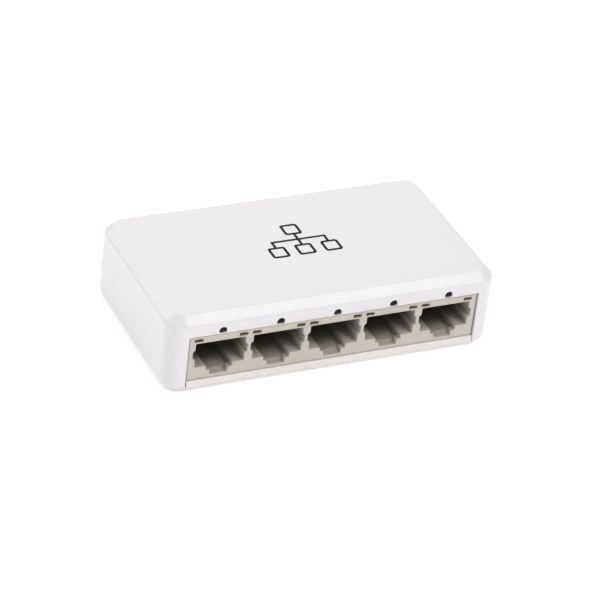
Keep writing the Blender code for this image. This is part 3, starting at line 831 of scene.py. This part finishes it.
# ---- contacts ----
def make_contact_sets():
    """Eight gold wires for each jack: a hooked root, a straight spring and an upturned tip."""
    wires = 8
    wire_pitch = 1.02
    wire_width = 0.46
    wire_thick = 0.34
    slope = math.radians(-20.0)
    root = Vector((BLOCK_LOW.y + 4.4, BASE + 12.0))
    side_view = rounded([(-0.5, -0.24, 0), (-0.12, 0, 0.3), (5.75, 0, 1.0), (6.5, 0.3, 0)], 5,
                        closed=False)
    path = []
    for along, up in side_view:
        path.append((root.x + along * math.cos(slope) - up * math.sin(slope),
                     root.y + along * math.sin(slope) + up * math.cos(slope)))
    for k, x in enumerate(PORT_X):
        parts = []
        for i in range(wires):
            wire_x = x + (i - (wires - 1) / 2) * wire_pitch
            parts.append(strip(f"wire_{k}_{i}", wire_x, path, wire_width, wire_thick, 0.1))
        comb = joined(f"contact_set_{k + 1}", parts)
        dress(comb, GOLD, f"port_{k + 1}_contacts", [f"contact_wires_{k + 1}"])


# ---- power inlet ----
def make_inlet_body():
    """The black housing: a collar that fills the case's hole, a bore, and moulded recesses."""
    low, high = node_box("power_jack")
    x, z = jack_axis()
    housing_back = 20.8
    recess_back = 19.0
    collar_front = 20.0
    collar_r = 3.8
    bore_end = 11.5
    bore_r = 3.15
    lip_r = 3.5
    slot_half = 1.6          # the slot that the sprung leaf moves in
    dimple_inset = 1.4
    dimple_depth = 0.4
    flute_depth = 0.35
    collar = [(0, 0), (collar_r, 0), (collar_r, 2.45), (collar_r - 0.1, 2.63), (lip_r, 2.7), (0, 2.7)]
    bore = [(0, 0), (bore_r, 0), (bore_r, 10.85), (bore_r + 0.1, 11.1), (lip_r, 11.25), (lip_r, 13),
            (0, 13)]
    pin_hole = [(0, 0), (1.25, 0), (1.25, 6), (0, 6)]
    cutters = [
        lathe("inlet_bore", bore, (x, bore_end, z), "Y", 64),
        lathe("inlet_pin_hole", pin_hole, (x, 7, z), "Y"),
        soft_box("inlet_slot", (x - slot_half, 9.4, low.z + 1.1), (x + slot_half, recess_back, z - 2.4), 0),
        soft_box("inlet_dimple", (low.x + dimple_inset, low.y + 2, high.z - dimple_depth),
                 (high.x - dimple_inset, recess_back, high.z + CLEAR), 0.3, 2),
    ]
    for side, wall in ((-1, low.x), (1, high.x)):
        cutters.append(soft_box(f"inlet_flute_{side}", (wall - flute_depth, 10.0, low.z + 2.2),
                                (wall + flute_depth, recess_back + 0.2, high.z - 2.0), 0.2, 2))
    body = soft_box("inlet_body", tuple(low), (high.x, housing_back, high.z), 0.35, 3)
    apply_booleans(body, cutters, [lathe("inlet_collar", collar, (x, collar_front, z), "Y", 64)])
    dress(body, BLACK, nodes=["power_jack"], angle=30)


def make_inlet_pin():
    """The centre pin: a flange, a round shank and a split tip."""
    x, z = jack_axis()
    root = 7.2
    r = 1.0
    flange_r = 1.8
    split_half = 0.16
    split_front = 16.6
    shank = [(0, 0), (flange_r - 0.2, 0), (flange_r, 0.15), (flange_r, 0.4), (flange_r - 0.1, 0.5),
             (r, 0.5), (r, 12.0), (0.93, 12.3), (0.72, 12.52), (0.4, 12.6), (0, 12.6)]
    pin = lathe("inlet_pin", shank, (x, root, z), "Y")
    split = soft_box("pin_split", (x - split_half, split_front, z - 2), (x + split_half, 21, z + 2), 0)
    apply_booleans(pin, [split])
    dress(pin, STEEL, nodes=["power_jack_pin"], angle=30)


def make_inlet_leaf():
    """The sprung leaf under the bore, rising from its root to a crest and down again."""
    x, z = jack_axis()
    crest = z - 2.625
    width = 2.4
    thick = 0.24
    side_view = [(10.1, z - 4.375, 0), (15.1, crest, 1.6), (15.9, crest, 1.2), (17.5, z - 3.525, 0)]
    leaf = strip("inlet_leaf", x, rounded(side_view, 6, closed=False), width, thick, 0.06)
    dress(leaf, GOLD, "inlet_contact", ["power_jack_spring"])


# ---- feet and screws ----
def make_feet():
    """Rubber feet: a flat disc with a rounded rim and a shallow dish under it."""
    section = [(0, 0.5), (3.2, 0.5), (3.2, -0.42), (3.12, -0.62), (2.93, -0.76), (2.7, -0.8),
               (2.35, -0.8), (2.15, -0.72), (1.9, -0.66), (0, -0.64)]
    places = {"front_left": (-1, -1), "front_right": (1, -1), "rear_left": (-1, 1), "rear_right": (1, 1)}
    for name, (side, end) in places.items():
        foot = lathe(f"foot_{name}", section, (side * FOOT_X, end * FOOT_Y, BASE))
        dress(foot, RUBBER, nodes=[f"rubber_foot_{name}"], angle=50)


def screw_section():
    """Half a screw's outline, from its point at the top down to the head at the bottom."""
    turns = 8
    turn_pitch = 0.7
    core_r = 0.86
    crest_r = 1.1
    section = [(0, 7.6), (0.35, 7.55), (0.6, 7.2)]
    for i in range(turns):
        top = 6.95 - i * turn_pitch
        section += [(core_r, top), (crest_r, top - 0.25), (crest_r, top - 0.33), (core_r, top - 0.58)]
    head = [(1.05, 1.32), (2.1, 1.3), (2.2, 1.2), (2.2, 0.75), (2.05, 0.5), (1.7, 0.3), (1.2, 0.22),
            (0, 0.2)]
    return section + head


def cross_recess(name, place):
    """Two tapering blades that cut a cross into a screw's head."""
    blades = []
    for i, (half_x, half_y) in enumerate(((1.2, 0.2), (0.2, 1.2))):
        rings = []
        for height, share in ((-0.3, 1.0), (0.3, 0.92), (0.95, 0.55)):
            thin = 0.8 + 0.2 * share
            scale_x = share if half_x > half_y else thin
            scale_y = thin if half_x > half_y else share
            rings.append([(place.x + a * scale_x, place.y + b * scale_y, place.z + height)
                          for a, b in rectangle(half_x, half_y, 0.06, 2)])
        blades.append(loft(f"cross_{name}_{i}", rings))
    return blades


def make_screws():
    for side, name in ((-1, "left"), (1, "right")):
        place = Vector((side * SCREW_X, SCREW_Y, BASE))
        screw = lathe(f"screw_{name}", screw_section(), tuple(place), steps=32)
        apply_booleans(screw, cross_recess(name, place))
        dress(screw, STEEL, nodes=[f"case_screw_{name}"], angle=30)


# ---- stage ----
def make_stage():
    """A wide pale floor under the feet."""
    bm = bmesh.new()
    bmesh.ops.create_grid(bm, x_segments=1, y_segments=1, size=3.0)
    floor = add_bmesh("floor", bm)
    paper = Surface("pale_paper")
    paper.colour(paper.noise(30.0), (0.93, 0.93, 0.935), (0.95, 0.95, 0.955))
    paper.value("Roughness", 0.9)
    paper.value("Specular IOR Level", 0.1)
    paper.value("Emission Color", (1, 1, 1, 1))
    paper.value("Emission Strength", FLOOR_GLOW)
    floor.data.materials.append(paper.mat)


def make_dome():
    """A soft dome, bright overhead and dimmer at the horizon; the camera sees a plain backdrop."""
    world = bpy.data.worlds.new("studio")
    world.use_nodes = True
    tree = world.node_tree
    sky = tree.nodes["Background"]
    sky.inputs["Color"].default_value = (1, 0.995, 1, 1)
    place = tree.nodes.new("ShaderNodeTexCoord")
    split = tree.nodes.new("ShaderNodeSeparateXYZ")
    climb = tree.nodes.new("ShaderNodeMapRange")
    climb.inputs["From Min"].default_value = 0.0
    climb.inputs["From Max"].default_value = 0.9
    climb.inputs["To Min"].default_value = HORIZON
    climb.inputs["To Max"].default_value = ZENITH
    tree.links.new(place.outputs["Generated"], split.inputs["Vector"])
    tree.links.new(split.outputs["Z"], climb.inputs["Value"])
    seen = tree.nodes.new("ShaderNodeLightPath")
    choose = tree.nodes.new("ShaderNodeMix")
    choose.inputs["B"].default_value = BACKDROP
    tree.links.new(seen.outputs["Is Camera Ray"], choose.inputs["Factor"])
    tree.links.new(climb.outputs["Result"], choose.inputs["A"])
    tree.links.new(choose.outputs["Result"], sky.inputs["Strength"])
    scene.world = world


def area_light(name, place, target, size, power):
    """A rectangular light; place, target and size are in metres."""
    data = bpy.data.lights.new(name, "AREA")
    data.shape = "RECTANGLE"
    data.size, data.size_y = size
    data.energy = power
    lamp = bpy.data.objects.new(name, data)
    lamp.location = place
    aim = Vector(target) - Vector(place)
    lamp.rotation_euler = aim.to_track_quat("-Z", "Y").to_euler()
    scene.collection.objects.link(lamp)


def make_lights():
    """A key from the front right, a side light from the rear left, a fill and a near back light."""
    area_light("key", (0.34, -0.52, 0.78), (0, 0, 0), (0.4, 0.4), KEY_POWER)
    area_light("side", (-0.56, 0.66, 0.5), (0, 0, 0), (0.5, 0.4), SIDE_POWER)
    area_light("fill", (-0.62, -0.65, 0.44), (0, 0, 0), (0.4, 0.4), FILL_POWER)
    area_light("back", (0.02, 0.22, 0.17), (0, 0.03, 0.01), (0.3, 0.12), BACK_POWER)


# ---- CAD nodes that keep their own shape ----
FINISHES = (
    ("circuit_board", MASK),
    ("crystal", CAN),
    ("input_capacitor", CAN),
    ("output_capacitor", CAN),
    ("filter_capacitor", CAN),
    ("contact_carrier", BLACK),
    ("indicator_led", LENS_RESIN),
)


def finish_cad_nodes():
    """A material for each CAD node by the start of its name; the rest are chips and coils."""
    for name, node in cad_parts.items():
        surface = EPOXY
        for start, finish in FINISHES:
            if name.startswith(start):
                surface = finish
        for slot in node.material_slots:
            slot.material = surface.mat


# ---- assembly ----
make_stage()
make_dome()
make_lights()
make_cover()
make_print()
make_floor_cover()
make_block()
make_light_pipe()
make_contact_sets()
make_inlet_body()
make_inlet_pin()
make_inlet_leaf()
make_feet()
make_screws()
finish_cad_nodes()
